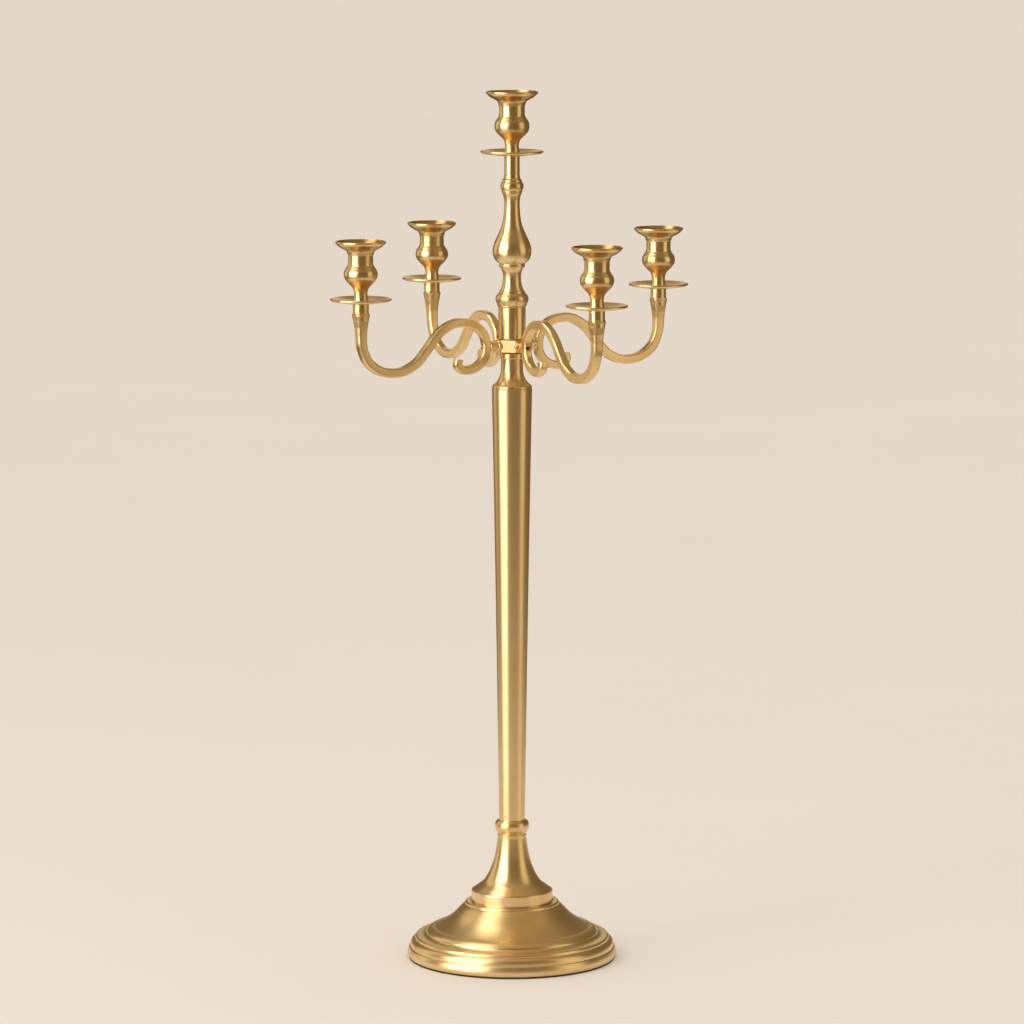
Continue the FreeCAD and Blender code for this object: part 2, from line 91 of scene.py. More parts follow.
def spun(name, outline, base, edge=0.25, steps=128):
    """A turned piece: the outline is drawn from one vertex, spun round the axis and eased at its edges."""
    points = drawn(outline)
    bpy.ops.object.select_all(action="DESELECT")
    bpy.ops.mesh.primitive_plane_add(size=MM)
    piece = bpy.context.object
    piece.name = name
    piece.data.name = name
    bpy.ops.object.mode_set(mode="EDIT")
    bpy.ops.mesh.select_mode(type="VERT")
    bpy.ops.mesh.merge(type="CENTER")
    bpy.ops.transform.translate(value=points[0] + Vector((0, 0, base)))
    for here, there in zip(points, points[1:] + points[:1]):
        bpy.ops.mesh.extrude_region_move(TRANSFORM_OT_translate={"value": there - here})
    bpy.ops.mesh.select_all(action="SELECT")
    bpy.ops.mesh.spin(steps=steps, angle=2 * math.pi, center=(0, 0, 0), axis=(0, 0, 1))
    bpy.ops.mesh.select_all(action="SELECT")
    bpy.ops.mesh.remove_doubles(threshold=0.004 * MM)
    bpy.ops.mesh.normals_make_consistent(inside=False)
    if edge:
        bpy.ops.mesh.select_mode(type="EDGE")
        bpy.ops.mesh.select_all(action="DESELECT")
        bpy.ops.mesh.edges_select_sharp(sharpness=math.radians(24))
        bpy.ops.mesh.bevel(offset=edge * MM, segments=2, clamp_overlap=True)
    bpy.ops.object.mode_set(mode="OBJECT")
    smoothed(piece, 40)
    return piece


def group_of(name, inputs, outputs):
    """An empty shader node group with its named inputs and outputs."""
    group = bpy.data.node_groups.new(name, "ShaderNodeTree")
    for title, kind, value in inputs:
        socket = group.interface.new_socket(title, in_out="INPUT", socket_type=kind)
        if value is not None:
            socket.default_value = value
    for title, kind in outputs:
        group.interface.new_socket(title, in_out="OUTPUT", socket_type=kind)
    return group, group.nodes.new("NodeGroupInput"), group.nodes.new("NodeGroupOutput")


def maths(tree, what, a, b=None):
    node = tree.nodes.new("ShaderNodeMath")
    node.operation = what
    for i, value in enumerate((a, b)):
        if isinstance(value, (int, float)):
            node.inputs[i].default_value = value
        elif value is not None:
            tree.links.new(value, node.inputs[i])
    return node.outputs[0]


def noise(tree, vector, scale, detail=2.0, rough=0.5):
    node = tree.nodes.new("ShaderNodeTexNoise")
    node.inputs["Scale"].default_value = scale
    node.inputs["Detail"].default_value = detail
    node.inputs["Roughness"].default_value = rough
    tree.links.new(vector, node.inputs["Vector"])
    return node.outputs["Fac"]


def spread(tree, value, low, high, to_low=0.0, to_high=1.0):
    node = tree.nodes.new("ShaderNodeMapRange")
    for i, number in enumerate((low, high, to_low, to_high)):
        node.inputs[i + 1].default_value = number
    tree.links.new(value, node.inputs[0])
    return node.outputs[0]


# Lathe marks: fine rings that run round the axis, from the radius and the height alone, with a slow drift
# round the piece so that no ring is even all the way.
rings, rings_in, rings_out = group_of(
    "lathe_rings", [("Vector", "NodeSocketVector", None), ("Fineness", "NodeSocketFloat", 900.0)],
    [("Rings", "NodeSocketFloat"), ("Bands", "NodeSocketFloat"), ("Radius", "NodeSocketFloat")])
parts_of = rings.nodes.new("ShaderNodeSeparateXYZ")
rings.links.new(rings_in.outputs["Vector"], parts_of.inputs[0])
x_out, y_out, z_out = parts_of.outputs
radius = maths(rings, "SQRT", maths(rings, "ADD", maths(rings, "MULTIPLY", x_out, x_out),
                                    maths(rings, "MULTIPLY", y_out, y_out)))
rings.links.new(radius, rings_out.inputs["Radius"])
across = rings.nodes.new("ShaderNodeCombineXYZ")
rings.links.new(maths(rings, "ADD", maths(rings, "MULTIPLY", radius, rings_in.outputs["Fineness"]),
                      maths(rings, "MULTIPLY", x_out, 14.0)), across.inputs[0])
rings.links.new(maths(rings, "ADD", maths(rings, "MULTIPLY", z_out, rings_in.outputs["Fineness"]),
                      maths(rings, "MULTIPLY", y_out, 14.0)), across.inputs[1])
rings.links.new(noise(rings, across.outputs[0], 1.0, 3.0, 0.65), rings_out.inputs["Rings"])
rings.links.new(noise(rings, across.outputs[0], 0.16, 2.0, 0.5), rings_out.inputs["Bands"])

# Age: slow clouds where the lacquer has toned the brass, and small darker specks.
age, age_in, age_out = group_of(
    "age", [("Vector", "NodeSocketVector", None), ("Offset", "NodeSocketFloat", 0.0)],
    [("Clouds", "NodeSocketFloat"), ("Specks", "NodeSocketFloat")])
shifted = age.nodes.new("ShaderNodeVectorMath")
shifted.operation = "ADD"
age.links.new(age_in.outputs["Vector"], shifted.inputs[0])
age.links.new(age_in.outputs["Offset"], shifted.inputs[1])
toning = noise(age, shifted.outputs[0], 16.0, 4.0, 0.6)
specks = noise(age, shifted.outputs[0], 420.0, 2.0, 0.6)
age.links.new(spread(age, toning, 0.36, 0.66), age_out.inputs["Clouds"])
age.links.new(spread(age, specks, 0.72, 0.80), age_out.inputs["Specks"])


def placed_group(tree, group, **values):
    node = tree.nodes.new("ShaderNodeGroup")
    node.node_tree = group
    for title, value in values.items():
        node.inputs[title].default_value = value
    return node


def mixed(tree, share, low, high):
    """A blend of two colours; either may be a plain colour or a socket."""
    node = tree.nodes.new("ShaderNodeMix")
    node.data_type = "RGBA"
    tree.links.new(share, node.inputs[0])
    for socket, value in ((node.inputs[6], low), (node.inputs[7], high)):
        if isinstance(value, tuple):
            socket.default_value = (*value, 1.0)
        else:
            tree.links.new(value, socket)
    return node.outputs[2]


BRASS_LIGHT = (0.86, 0.65, 0.35)
BRASS_DEEP = (0.79, 0.565, 0.26)
BRASS_SPECK = (0.40, 0.26, 0.10)
# Painted shade: the darker brass colour laid inside the cups' dished tops where shade falls.
BRASS_PAINTED_SHADE = (0.46, 0.29, 0.105)


def brass(name, centre=(0, 0), rough=0.30, fineness=900.0, seed=0.0, bump=0.02, grain="rings", streaks=0.10,
          painted_shade=None):
    """Satin lacquered brass. Rings run round the piece's own axis; a bar's grain runs along it. Inside a radius
    and above a height, given as a pair, a cup gets painted shade: a darker colour for the shade in its dished
    top."""
    material = bpy.data.materials.new(name)
    material.use_nodes = True
    tree = material.node_tree
    shader = tree.nodes["Principled BSDF"]
    shader.inputs["Metallic"].default_value = 1.0
    coordinates = tree.nodes.new("ShaderNodeTexCoord")
    placing = tree.nodes.new("ShaderNodeMapping")
    placing.inputs["Location"].default_value = (-centre[0], -centre[1], 0)
    tree.links.new(coordinates.outputs["Object"], placing.inputs["Vector"])
    vector = placing.outputs[0]
    if grain == "rings":
        marks = placed_group(tree, rings, Fineness=fineness)
        tree.links.new(vector, marks.inputs["Vector"])
        lines = marks.outputs["Rings"]
        bands = marks.outputs["Bands"]
        tangent = tree.nodes.new("ShaderNodeTangent")
        tangent.direction_type = "RADIAL"
        tangent.axis = "Z"
        tree.links.new(tangent.outputs[0], shader.inputs["Tangent"])
        shader.inputs["Anisotropic"].default_value = 0.55
        shader.inputs["Anisotropic Rotation"].default_value = 0.25
    else:
        along = tree.nodes.new("ShaderNodeMapping")
        along.inputs["Scale"].default_value = (9.0, 90.0, 1.0)
        tree.links.new(coordinates.outputs["UV"], along.inputs["Vector"])
        lines = noise(tree, along.outputs[0], 1.0, 3.0, 0.65)
        bands = noise(tree, along.outputs[0], 0.22, 2.0, 0.5)
    years = placed_group(tree, age, Offset=seed)
    tree.links.new(vector, years.inputs["Vector"])
    tone = mixed(tree, years.outputs["Clouds"], BRASS_LIGHT, BRASS_DEEP)
    line_tone = mixed(tree, spread(tree, lines, 0.35, 0.7, 0.0, streaks), tone, BRASS_DEEP)
    speck_share = maths(tree, "MULTIPLY", years.outputs["Specks"], 0.5)
    speckled = mixed(tree, speck_share, line_tone, BRASS_SPECK)
    # Painted shade: inside the given radius and above the given height, the cup's dished top is darkened in
    # colour.
    if painted_shade:
        heights = tree.nodes.new("ShaderNodeSeparateXYZ")
        tree.links.new(vector, heights.inputs[0])
        inside = maths(tree, "MULTIPLY", spread(tree, marks.outputs["Radius"], painted_shade[0] + 0.8 * MM, painted_shade[0]),
                       spread(tree, heights.outputs[2], painted_shade[1], painted_shade[1] + MM))
        speckled = mixed(tree, inside, speckled, BRASS_PAINTED_SHADE)
    tree.links.new(speckled, shader.inputs["Base Color"])
    dull = maths(tree, "ADD", spread(tree, lines, 0.3, 0.7, -0.006, 0.008),
                 spread(tree, years.outputs["Clouds"], 0.0, 1.0, 0.0, 0.05))
    tree.links.new(maths(tree, "ADD", dull, rough), shader.inputs["Roughness"])
    relief = tree.nodes.new("ShaderNodeBump")
    relief.inputs["Strength"].default_value = bump
    relief.inputs["Distance"].default_value = 0.05 * MM
    height = maths(tree, "ADD", lines, maths(tree, "MULTIPLY", bands, 1.5))
    tree.links.new(height, relief.inputs["Height"])
    tree.links.new(relief.outputs[0], shader.inputs["Normal"])
    return material


def dress(piece, material, body, *nodes, slot="satin_brass"):
    """Gives a finished piece its material, its body, and the CAD nodes it stands for."""
    piece.data.materials.clear()
    piece.data.materials.append(material)
    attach(piece, body)
    if nodes:
        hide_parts(*nodes)


bore = 4.1
dish_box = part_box("base_dish")
foot_r = 113.8
edge_r = foot_r - 20.6
dish_h = (dish_box[1][2] - dish_box[0][2]) / MM
ring_r = 51.3
dish = spun("foot_dish", [
    (104.4, 0), (foot_r - 1.2, 0), soft(foot_r - 0.1, 4.6), (foot_r - 1.6, 10.2), (foot_r - 2.8, 10.9),
    (foot_r - 2.8, 11.6), soft(foot_r - 4.0, 16.4), (foot_r - 7.2, 19.0), (foot_r - 8.2, 19.2),
    (foot_r - 8.2, 20.0), soft(foot_r - 8.9, 22.0), (foot_r - 10.8, 22.8), soft(foot_r - 17.0, 23.6),
    (edge_r + 0.4, 25.6), (edge_r, 27.0),
    soft(91.1, 29.3), soft(87.4, 31.3), soft(82.8, 32.9), soft(74.1, 37.7), soft(65.9, 43.6),
    soft(58.4, 51.2), soft(54.6, 55.0), (ring_r + 0.9, dish_h - 3.6), (ring_r, dish_h - 3.2),
    soft(ring_r - 0.4, dish_h - 1.2), (ring_r - 1.9, dish_h), (45.4, dish_h), (44.9, dish_h - 1.3),
    (4.4, dish_h - 1.3), (4.4, dish_h - 4.5), (47.0, dish_h - 4.5), soft(55.0, 49.5), soft(63.5, 41.0),
    soft(73.0, 34.6), soft(84.0, 29.2), (89.0, 24.0), (89.2, 12.0), (104.4, 12.0),
], dish_box[0][2])
dress(dish, brass("brass_foot", rough=0.31, fineness=800.0, seed=1.3), "stand", "base_dish")

# ---------------------------------------------------------------- trumpet bell
# The bell above the foot: cast hollow, turned to a long trumpet with a cylindrical ledge at its base.
# It stands inside the dish's lip and is held down by the tie rod.
bell_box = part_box("base_bell")
ledge_r = 44.2
ledge_h = 13.8
bell_h = (bell_box[1][2] - bell_box[0][2]) / MM
bell_top_r = 15.8
bell = spun("foot_bell", [
    (ledge_r - 4.5, 0), (ledge_r - 0.4, 0), (ledge_r, 0.4), (ledge_r, ledge_h - 1.2),
    soft(ledge_r - 0.35, ledge_h - 0.35), (ledge_r - 1.2, ledge_h), soft(41.1, 15.2), soft(36.5, 18.6),
    soft(32.0, 22.0), soft(28.2, 27.1), soft(24.0, 35.3), soft(20.3, 45.2), soft(17.8, 56.3),
    soft(bell_top_r, 70.4), (bell_top_r, bell_h - 1.6), (bell_top_r - 0.7, bell_h - 1.1),
    (bell_top_r - 0.7, bell_h), (bore, bell_h), (bore, bell_h - 12.0), (13.0, 60.0), soft(15.0, 54.0),
    soft(21.6, 34.0), soft(30.0, 20.5), (38.0, 12.0), (ledge_r - 4.5, ledge_h - 3.2),
], bell_box[0][2])
dress(bell, brass("brass_bell", rough=0.29, seed=2.1), "stand", "base_bell")

# ---------------------------------------------------------------- bead under the column
# A turned ring with one fat bead, pinched between the bell and the column.
bead_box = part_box("base_bead")
bead_h = (bead_box[1][2] - bead_box[0][2]) / MM
bead = spun("foot_bead", [
    (bore, 0), (15.6, 0), (16.1, 0.8), soft(17.9, 3.9), soft(18.55, 7.6), soft(18.0, 11.2),
    (16.0, bead_h - 0.9), (15.1, bead_h), (bore, bead_h),
], bead_box[0][2])
dress(bead, brass("brass_bead", rough=0.27, seed=3.7), "stand", "base_bead")

# ---------------------------------------------------------------- column
# One long tube, drawn and tapered, thin at the foot and wide at the head, with an eased top edge.
column_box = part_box("column_tube")
column_h = (column_box[1][2] - column_box[0][2]) / MM
column_low_r = 14.1
column_high_r = 21.7
column_wall = 1.6
outer = []
for step in range(7):
    t = step / 6
    hollow = 4 * 0.45 * t * (1 - t)
    outer.append((column_low_r + (column_high_r - column_low_r) * t - hollow, column_h * t))
column_outline = [(column_low_r - column_wall, 0), (column_low_r, 0)]
column_outline += [soft(*p) for p in outer[1:-1]]
column_outline += [(column_high_r, column_h - 0.8), (column_high_r - 0.8, column_h)]
column_outline += [(column_high_r - column_wall, column_h)]
column_outline += [soft(r - column_wall, h) for r, h in outer[-2:0:-1]]
column = spun("column", column_outline, column_box[0][2])
dress(column, brass("brass_column", rough=0.30, fineness=1000.0, seed=4.9), "stand", "column_tube")

# ---------------------------------------------------------------- column cap
# The turned spool that closes the column: a rounded shoulder, a hollow waist, and a ring for the hub.
cap_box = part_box("column_cap")
cap_h = (cap_box[1][2] - cap_box[0][2]) / MM
cap_r = 21.4
cap = spun("column_cap_spool", [
    (bore, 0), (cap_r - 0.5, 0), (cap_r, 0.6), soft(cap_r - 0.5, 2.3), (cap_r - 2.0, 3.7),
    soft(cap_r - 4.4, 5.8), soft(cap_r - 6.5, 8.8), soft(cap_r - 8.1, 12.2), soft(12.15, 16.5),
    soft(11.85, 21.5), (12.05, cap_h - 6.2), (12.6, cap_h - 5.9), (12.9, cap_h - 5.4), (12.9, cap_h - 1.3),
    soft(12.2, cap_h - 0.5), (11.4, cap_h), (bore, cap_h),
], cap_box[0][2])
dress(cap, brass("brass_cap", rough=0.28, seed=5.3), "stand", "column_cap")

# ---------------------------------------------------------------- hub
# The block the arms screw to: brass bar milled with four wide faces and four narrow ones, bored for the
# journal. Its faces are linished, and its long edges are broken.
hub_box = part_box("arm_hub")
hub_h = hub_box[1][2] - hub_box[0][2]
hub_mid = (hub_box[0][2] + hub_box[1][2]) / 2
hub_flat = 13.9 * MM
hub_seat = hub_box[1][0]
bpy.ops.object.select_all(action="DESELECT")
bpy.ops.mesh.primitive_cylinder_add(vertices=96, radius=8.05 * MM, depth=2 * hub_h, location=(0, 0, hub_mid))
hub_core = bpy.context.object
bpy.ops.object.select_all(action="DESELECT")
bpy.ops.mesh.primitive_cube_add(size=1.0, location=(0, 0, hub_mid), rotation=(0, 0, math.radians(45)),
                                scale=(2 * hub_flat, 2 * hub_flat, hub_h))
hub = bpy.context.object
hub.name = "arm_hub_block"
bpy.ops.object.transform_apply(location=True, rotation=True, scale=True)
bpy.ops.object.mode_set(mode="EDIT")
for quarter in range(4):
    way = Vector((math.cos(math.pi / 2 * quarter), math.sin(math.pi / 2 * quarter), 0))
    bpy.ops.mesh.select_all(action="SELECT")
    bpy.ops.mesh.bisect(plane_co=way * hub_seat, plane_no=way, use_fill=True, clear_outer=True)
bpy.ops.mesh.select_all(action="SELECT")
bpy.ops.mesh.remove_doubles(threshold=0.01 * MM)
bpy.ops.mesh.normals_make_consistent(inside=False)
bpy.ops.mesh.select_mode(type="EDGE")
bpy.ops.mesh.select_all(action="DESELECT")
bpy.ops.mesh.edges_select_sharp(sharpness=math.radians(30))
bpy.ops.mesh.bevel(offset=0.45 * MM, segments=3)
bpy.ops.object.mode_set(mode="OBJECT")
boring = hub.modifiers.new("bore", "BOOLEAN")
boring.operation = "DIFFERENCE"
boring.object = hub_core
bpy.ops.object.modifier_apply(modifier="bore")
bpy.data.objects.remove(hub_core)
smoothed(hub, 30)
dress(hub, brass("brass_hub", rough=0.42, fineness=700.0, seed=6.2), "arm_ring", "arm_hub")

# ---------------------------------------------------------------- sleeve and its bead
# A plain turned sleeve that clamps the hub's upper washer, and the fat ring bead that sits on it.
# A short spigot on each piece's top registers in a recess in the next one's foot.
spigot_r = 6.2
spigot_l = 3.0
recess_r = 6.3
recess_h = 3.3
sleeve_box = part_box("hub_sleeve")
sleeve_r = 14.65
sleeve_h = 34.7
sleeve = spun("hub_sleeve_tube", [
    (bore, 0), (sleeve_r - 0.8, 0), (sleeve_r, 0.8), (sleeve_r, sleeve_h - 0.9), (sleeve_r - 0.5, sleeve_h),
    (spigot_r, sleeve_h), (spigot_r, sleeve_h + spigot_l), (bore, sleeve_h + spigot_l),
], sleeve_box[0][2])
dress(sleeve, brass("brass_sleeve", rough=0.28, seed=7.9), "stand", "hub_sleeve")

ring_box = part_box("sleeve_bead")
ring_r = 17.8
ring_h = 17.3
ring = spun("sleeve_ring", [
    (recess_r, 0), (sleeve_r, 0), soft(sleeve_r + 0.75, 0.4), (sleeve_r + 0.9, 1.6), soft(sleeve_r + 1.5, 3.2),
    soft(ring_r - 0.7, 5.4), soft(ring_r, 8.8), soft(ring_r - 0.9, 11.9), (ring_r - 2.6, 14.2),
    (ring_r - 3.8, 14.8), (ring_r - 3.9, ring_h - 0.5), (ring_r - 4.4, ring_h), (spigot_r, ring_h),
    (spigot_r, ring_h + spigot_l), (bore, ring_h + spigot_l), (bore, recess_h), (recess_r, recess_h),
], ring_box[0][2])
dress(ring, brass("brass_ring", rough=0.27, seed=8.4), "stand", "sleeve_bead")

# ---------------------------------------------------------------- baluster
# The vase-shaped baluster, turned from solid bar: a spool, a collar, the vase and a long hollow neck.
baluster_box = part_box("baluster")
collar_h = 25.9
baluster_h = 105.3
vase_r = 20.95
baluster = spun("baluster_vase", [
    (recess_r, 0), (12.9, 0), soft(11.0, 4.8), soft(9.95, 9.4), soft(9.55, 14.0), soft(10.3, 19.6),
    soft(11.3, 22.6), (12.6, 24.9), (13.7, collar_h - 0.4), soft(14.1, collar_h + 1.2), (13.7, collar_h + 2.9),
    (13.9, collar_h + 3.4), soft(vase_r - 4.3, collar_h + 5.4), soft(vase_r - 1.5, collar_h + 9.3),
    soft(vase_r, 42.9), soft(vase_r - 1.4, collar_h + 24.2), soft(vase_r - 5.3, collar_h + 33.2),
    soft(vase_r - 9.2, collar_h + 42.0), soft(9.6, collar_h + 50.6), soft(8.45, collar_h + 61.2),
    soft(8.25, collar_h + 67.6), soft(8.6, baluster_h - 7.4), (9.6, baluster_h - 2.6),
    (10.2, baluster_h - 1.5), (10.4, baluster_h), (spigot_r, baluster_h), (spigot_r, baluster_h + spigot_l),
    (bore, baluster_h + spigot_l), (bore, recess_h), (recess_r, recess_h),
], baluster_box[0][2])
dress(baluster, brass("brass_baluster", rough=0.29, seed=9.1), "stand", "baluster")

# ---------------------------------------------------------------- stem bead and stem
# A small bead, then the plain tube that carries the top pan; both are turned and stacked on the tie rod.
stem_bead_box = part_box("stem_bead")
knop_r = 12.45
knop_h = 14.9
stem_r = 8.25
knop = spun("stem_knop", [
    (recess_r, 0), (knop_r - 1.8, 0), soft(knop_r - 1.5, 0.7), (knop_r - 1.4, 2.2), soft(knop_r - 0.4, 4.0),
    soft(knop_r, 7.0), soft(knop_r - 0.5, 9.6), (knop_r - 1.5, 11.2), (knop_r - 1.9, 11.5),
    (knop_r - 2.0, 13.5), (stem_r + 0.9, knop_h), (spigot_r, knop_h), (spigot_r, knop_h + spigot_l),
    (bore, knop_h + spigot_l), (bore, recess_h), (recess_r, recess_h),
], stem_bead_box[0][2])
dress(knop, brass("brass_knop", rough=0.27, seed=10.7), "stand", "stem_bead")

stem_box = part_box("stem_top")
stem_h = (stem_box[1][2] - stem_box[0][2]) / MM
stud_bore = 3.05
vent_r = 0.4
stem = spun("stem_tube", [
    (4.0, 0), (stem_r + 0.8, 0), soft(stem_r + 0.25, 2.4), (stem_r, 5.4), (stem_r, stem_h), (stud_bore, stem_h),
    (stud_bore, stem_h - 9.3), (vent_r, stem_h - 9.3), (vent_r, 10.6), (4.0, 10.6),
], stem_box[0][2])
dress(stem, brass("brass_stem", rough=0.28, seed=11.2), "stand", "stem_top")

# ---------------------------------------------------------------- drip pans
# Shallow spun pans that catch the wax, each with a rounded rim; the top one is a little larger.


def drip_pan(name, base, grow):
    rim = 32.6 * grow
    rise = 3.2
    edge = 2.8
    return spun(name, [
        (3.3, 0), (12.0, 0), soft(rim * 0.55, 0.3 * rise), soft(rim - 4.0, 0.75 * rise),
        soft(rim - 1.2, rise + 0.1), soft(rim - 0.02, rise + 0.5 * edge), soft(rim - 1.2, rise + edge - 0.1),
        soft(rim - 4.0, rise + 0.75 * edge), soft(rim * 0.65, 3.3), (12.0, 2.0), (3.3, 2.0),
    ], base, edge=0.1)


def set_on_arm(piece, place, reach):
    """Moves a piece made on the stand's axis out to an arm's end, with its place in its mesh."""
    angle = math.pi / 2 * (place - 1)
    bpy.ops.object.select_all(action="DESELECT")
    piece.select_set(True)
    bpy.context.view_layer.objects.active = piece
    piece.location = (reach * math.cos(angle), reach * math.sin(angle), 0)
    bpy.ops.object.transform_apply(location=True, rotation=True, scale=True)


def copy_of(piece, name):
    twin = piece.copy()
    twin.data = piece.data.copy()
    twin.name = name
    twin.data.name = name
    bpy.context.collection.objects.link(twin)
    return twin


def arm_spot(place, reach):
    angle = math.pi / 2 * (place - 1)
    return (reach * math.cos(angle), reach * math.sin(angle))


top_growth = 1.04
pan_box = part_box("arm_pan_1")
arm_reach = (pan_box[0][0] + pan_box[1][0]) / 2
top_pan = drip_pan("top_pan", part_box("centre_pan")[0][2], top_growth)
dress(top_pan, brass("brass_top_pan", rough=0.30, seed=12.4), "stand", "centre_pan")
first_pan = drip_pan("drip_pan_1", pan_box[0][2], 1.0)
pans = [first_pan] + [copy_of(first_pan, f"drip_pan_{i}") for i in (2, 3, 4)]
for place, pan in enumerate(pans, 1):
    set_on_arm(pan, place, arm_reach)
    finish = brass(f"brass_pan_{place}", centre=arm_spot(place, arm_reach), rough=0.30, seed=13.0 + place)
    dress(pan, finish, "arm_ring", f"arm_pan_{place}")

# ---------------------------------------------------------------- candle cups
# Turned cups: a waisted foot, a bulb, a straight tube bored for the candle, and a flared lip with a dished
# top. Each screws down through its pan.
candle_r = 11.3
candle_depth = 30.0
mouth_drop = 8.0
# How far below a cup's top the painted shade in its dished top reaches.
painted_shade_depth = 10.0


def candle_cup(name, base, grow):
    neck = 7.3 * grow
    bulb = 18.0 * grow
    tube = 13.2 * grow
    lip = 26.9 * grow
    top = 64.5 * grow
    groove = 35.6 * grow
    root = 41.0 * grow
    band = 49.8 * grow
    floor = top - mouth_drop - candle_depth
    return spun(name, [
        (stud_bore, 0), (neck + 0.9, 0), (neck + 0.75, 1.4), soft(neck + 0.1, 4.4), soft(neck - 0.2, 8.2),
        soft(neck + 0.1, 11.4), soft(neck + 1.5, 15.2), soft(neck + 5.0, 18.9), soft(bulb - 2.0, 23.2),
        soft(bulb - 0.4, 26.4), soft(bulb, 29.5 * grow), soft(bulb - 0.7, 33.0 * grow),
        (bulb - 2.1, groove - 0.2), (bulb - 2.5, groove), (bulb - 2.4, groove + 0.4),
        soft(tube + 1.4, 37.4 * grow), soft(tube + 0.4, 39.2 * grow), (tube, root), (tube, band), (tube + 0.8, band + 0.5),
        (tube + 1.3, band + 3.4), (tube + 1.7, band + 4.1), soft(lip - 10.4, top - 9.5),
        soft(lip - 6.7, top - 7.6), soft(lip - 3.5, top - 5.5), soft(lip - 1.0, top - 3.1),
        soft(lip, top - 1.4), soft(lip - 1.1, top - 0.02), soft(lip - 2.3, top - 1.2),
        soft(lip - 4.8, top - 3.9), soft(lip - 8.5, top - 5.9), (candle_r + 2.6, top - 7.0),
        (candle_r, top - mouth_drop), (candle_r, floor), (vent_r, floor), (vent_r, 12.1), (stud_bore, 12.1),
    ], base)


top_cup = candle_cup("top_cup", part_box("centre_cup")[0][2], top_growth)
# Radius and height of the painted shade inside the top cup's dished top.
top_dish_shade = (25.6 * MM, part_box("centre_cup")[1][2] - painted_shade_depth * MM)
dress(top_cup, brass("brass_top_cup", rough=0.27, seed=18.2, painted_shade=top_dish_shade), "cup_centre", "centre_cup")
first_cup = candle_cup("candle_cup_1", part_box("arm_cup_1")[0][2], 1.0)
# Radius and height of the painted shade inside each arm cup's dished top.
arm_dish_shade = (24.6 * MM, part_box("arm_cup_1")[1][2] - painted_shade_depth * MM)
cups = [first_cup] + [copy_of(first_cup, f"candle_cup_{i}") for i in (2, 3, 4)]
for place, cup in enumerate(cups, 1):
    set_on_arm(cup, place, arm_reach)
    finish = brass(f"brass_cup_{place}", centre=arm_spot(place, arm_reach), rough=0.27, seed=19.0 + place,
                   painted_shade=arm_dish_shade)
    dress(cup, finish, f"cup_{place}", f"arm_cup_{place}")

# ---------------------------------------------------------------- scrolled arms
# Square brass bar, forged to a scroll: a cut end curls up inside the loop, the loop meets the hub, and the
# sweep runs out and up, swelling into the socket. The socket's corners are turned down to a round neck.
seat_r = 28.4
loop_r = seat_r + 3.6
loop_bar = 9.3
reach_mm = arm_reach / MM
socket_top = 43.6
loop_top_r = loop_r + 32.5
sweep = reach_mm - loop_top_r
# radius from the stand's axis, height above the hub's middle, width of the bar
bar = [(loop_r + 33.5, -11.7, 8.8), (loop_r + 34.6, -17.2, 8.85), (loop_r + 30.9, -22.1, 8.9),
       (loop_r + 23.5, -23.9, 9.0), (loop_r + 6.4, -16.6, 9.15), (loop_r, 0.3, loop_bar),
       (loop_r + 8.0, 19.3, 9.35),
       (loop_top_r, 27.6, 9.45), (loop_top_r + 0.125 * sweep, 23.7, 9.5),
       (loop_top_r + 0.229 * sweep, 15.2, 9.5), (loop_top_r + 0.352 * sweep, -2.2, 9.55),
       (loop_top_r + 0.467 * sweep, -15.4, 9.6),
       (loop_top_r + 0.678 * sweep, -22.2, 9.7), (loop_top_r + 0.902 * sweep, -12.5, 9.85),
       (loop_top_r + 0.981 * sweep, 3.1, 10.0), (reach_mm, 20.0, 10.8), (reach_mm, 28.0, 12.1),
       (reach_mm, 35.5, 14.2), (reach_mm, socket_top, 16.9)]
half = 0.5
chamfer = 0.165
easing = 0.02
bpy.ops.object.select_all(action="DESELECT")
bpy.ops.curve.primitive_nurbs_circle_add(radius=1.0)
section = bpy.context.object
section.data.splines.remove(section.data.splines[0])
square = section.data.splines.new("POLY")
side = half - chamfer
edges = [(half, easing - side), (half, side - easing), (half - easing, side + easing),
         (side + easing, half - easing)]
ring_points = []
for quarter in range(4):
    turn = math.pi / 2 * quarter
    for a, b in edges:
        ring_points.append((a * math.cos(turn) - b * math.sin(turn), a * math.sin(turn) + b * math.cos(turn)))
square.points.add(len(ring_points) - 1)
square.use_cyclic_u = True
for spot, (a, b) in zip(square.points, ring_points):
    spot.co = (a * MM, b * MM, 0, 1)
bpy.ops.object.select_all(action="DESELECT")
bpy.ops.curve.primitive_bezier_curve_add()
forged = bpy.context.object
forged.name = "arm_bar_1"
path = forged.data
path.dimensions = "3D"
path.splines[0].bezier_points.add(len(bar) - 2)
for spot, (r, h, width) in zip(path.splines[0].bezier_points, bar):
    spot.co = (r * MM, 0, hub_mid + h * MM)
    spot.handle_left_type = "AUTO"
    spot.handle_right_type = "AUTO"
    spot.radius = width
path.resolution_u = 12
path.twist_mode = "MINIMUM"
path.bevel_mode = "OBJECT"
path.bevel_object = section
path.use_fill_caps = True
bpy.ops.object.convert(target="MESH")
forged = bpy.context.object
bpy.data.objects.remove(section)
bpy.ops.object.mode_set(mode="EDIT")
bpy.ops.mesh.select_all(action="SELECT")
bpy.ops.mesh.remove_doubles(threshold=0.004 * MM)
bpy.ops.mesh.normals_make_consistent(inside=False)
bpy.ops.object.mode_set(mode="OBJECT")

